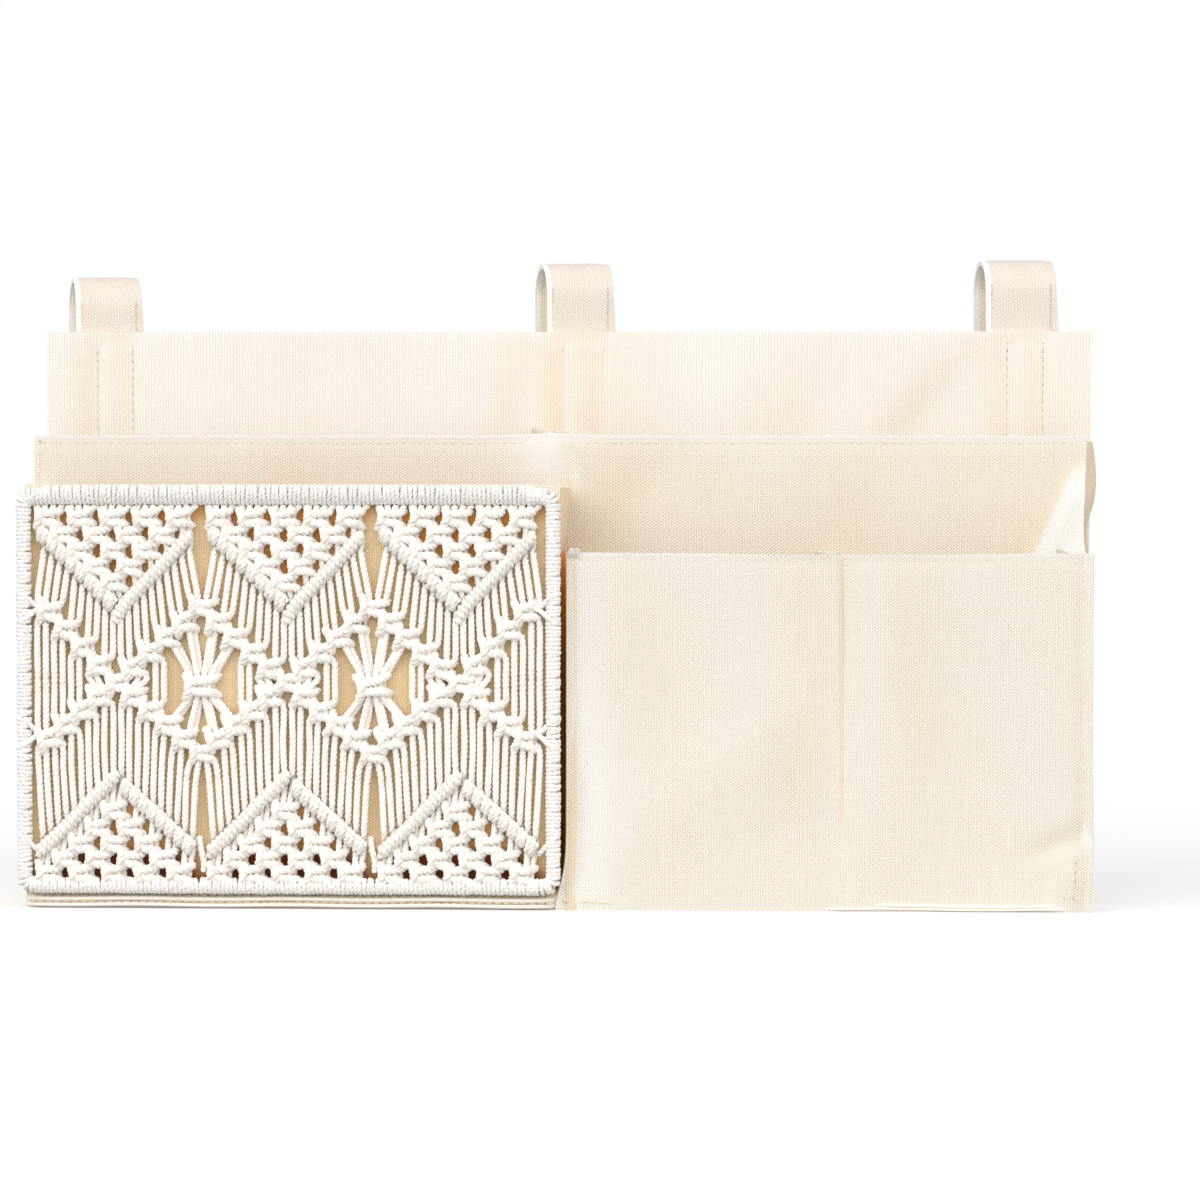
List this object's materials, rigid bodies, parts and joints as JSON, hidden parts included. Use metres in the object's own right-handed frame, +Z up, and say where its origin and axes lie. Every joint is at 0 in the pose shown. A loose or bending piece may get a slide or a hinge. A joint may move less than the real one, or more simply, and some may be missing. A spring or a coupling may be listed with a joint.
{
  "type": "bedside caddy",
  "caption": "Hanging canvas organizer with a tall back, strap loops, a wide middle pocket and two front pockets, one faced with a knotted cord net.",
  "frame": {"origin": "on the surface it stands on, under the middle of its bounding box", "axes": "+Z up, -Y towards the front pockets, +X to the right as seen from the front"},
  "size_m": [0.4, 0.0974, 0.243],
  "materials": {
    "canvas": "matt plain-weave cotton canvas",
    "webbing": "matt folded and edge-stitched canvas webbing",
    "loop_tape": "matt looped pile",
    "hook_tape": "matt hooked pile",
    "cord": "soft twisted cotton cord",
    "wire": "drawn steel wire"
  },
  "bodies": {
    "caddy": {"back_panel": "canvas", "middle_pocket_front": "canvas", "middle_pocket_gusset_left": "canvas", "middle_pocket_gusset_right": "canvas", "middle_pocket_bottom": "canvas", "middle_pocket_divider": "canvas", "left_pocket_front": "canvas", "left_pocket_gusset_left": "canvas", "left_pocket_gusset_right": "canvas", "left_pocket_bottom": "canvas", "right_pocket_front": "canvas", "right_pocket_gusset_left": "canvas", "right_pocket_gusset_right": "canvas", "right_pocket_bottom": "canvas", "right_pocket_divider": "canvas", "strap_riser_left": "webbing", "loop_patch_left": "loop_tape", "strap_riser_centre": "webbing", "loop_patch_centre": "loop_tape", "strap_riser_right": "webbing", "loop_patch_right": "loop_tape", "frame_wire": "wire", "frame_wrap_left": "cord", "frame_wrap_right": "cord", "macrame_net": "cord"},
    "strap_left": {"strap_tail_left": "webbing", "hook_patch_left": "hook_tape"},
    "strap_centre": {"strap_tail_centre": "webbing", "hook_patch_centre": "hook_tape"},
    "strap_right": {"strap_tail_right": "webbing", "hook_patch_right": "hook_tape"}
  },
  "joints": [
    {"name": "strap_left_opens", "type": "hinge", "parent": "caddy", "child": "strap_left", "pos_m": [-0.176, 0.03485, 0.237], "axis": [1, 0, 0], "range_deg": [0, 150]},
    {"name": "strap_centre_opens", "type": "hinge", "parent": "caddy", "child": "strap_centre", "pos_m": [0.007, 0.03485, 0.242], "axis": [1, 0, 0], "range_deg": [0, 150]},
    {"name": "strap_right_opens", "type": "hinge", "parent": "caddy", "child": "strap_right", "pos_m": [0.176, 0.03485, 0.243], "axis": [1, 0, 0], "range_deg": [0, 150]}
  ]
}
